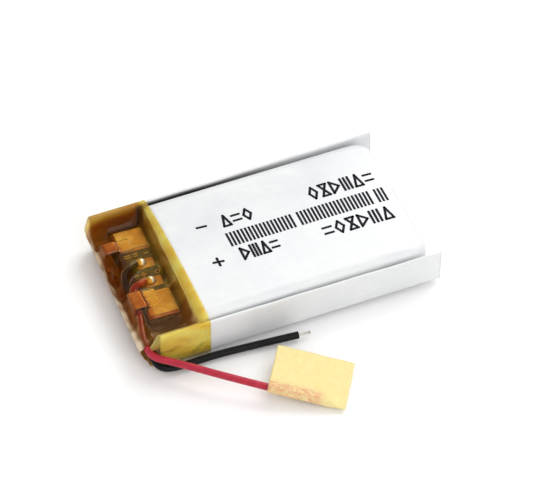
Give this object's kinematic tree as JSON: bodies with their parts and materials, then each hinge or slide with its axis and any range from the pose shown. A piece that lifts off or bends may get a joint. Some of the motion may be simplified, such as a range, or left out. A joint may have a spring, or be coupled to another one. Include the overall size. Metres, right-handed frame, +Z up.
{
  "type": "lipo battery pack",
  "caption": "Flat lithium polymer pouch pack with an amber-taped protection board and red and black solder leads.",
  "frame": {"origin": "bottom centre of the pack's box, leads left out, on the plane the pouch rests on", "axes": "+X from the board end to the tail, +Y away from the side on which the leads come out, +Z up through the thickness"},
  "size_m": [0.0358, 0.034, 0.0061],
  "materials": {
    "laminate_film": "satin, faintly mottled",
    "separator_film": "matt",
    "anode_coating": "matt graphite coating on copper foil",
    "cathode_coating": "matt oxide coating on aluminium foil",
    "closing_tape": "smooth",
    "aluminium_tab": "bright foil",
    "nickel": "bright, rolled",
    "tab_sealant": "translucent",
    "board_laminate": "dark solder mask",
    "copper_pad": "tinned and flashed",
    "chip_epoxy": "moulded",
    "tinned_leg": "tinned",
    "chip_ceramic": "fired",
    "resistor_glaze": "glazed",
    "solder": "bright solder",
    "insulating_paper": "calendered",
    "polyimide": "clear amber film",
    "red_insulation": "smooth",
    "black_insulation": "smooth",
    "tinned_copper": "stranded, tinned",
    "crepe_paper": "creped masking paper"
  },
  "bodies": {
    "pack": {"pouch_film": "laminate_film", "separator_inner": "separator_film", "separator_outer": "separator_film", "anode_sheet": "anode_coating", "cathode_sheet": "cathode_coating", "roll_closing_tape": "closing_tape", "positive_tab": "aluminium_tab", "negative_tab": "nickel", "positive_tab_sealant": "tab_sealant", "negative_tab_sealant": "tab_sealant", "circuit_board": "board_laminate", "board_pads": "copper_pad", "positive_weld_block": "nickel", "negative_weld_block": "nickel", "mosfet_pair": "chip_epoxy", "mosfet_legs": "tinned_leg", "protection_chip": "chip_epoxy", "protection_chip_legs": "tinned_leg", "supply_resistor": "resistor_glaze", "sense_resistor": "resistor_glaze", "filter_capacitor": "chip_ceramic", "red_lead_jacket": "red_insulation", "red_lead_core": "tinned_copper", "black_lead_jacket": "black_insulation", "black_lead_core": "tinned_copper", "board_insulator": "insulating_paper", "positive_solder_joint": "solder", "negative_solder_joint": "solder", "polyimide_wrap": "polyimide"},
    "flag": {"masking_tape_flag": "crepe_paper"}
  },
  "joints": [
    {"name": "flag_pull_off", "type": "slide", "parent": "pack", "child": "flag", "axis": [0.8323, -0.5292, -0.1651], "range_m": [0, 0.009]}
  ]
}
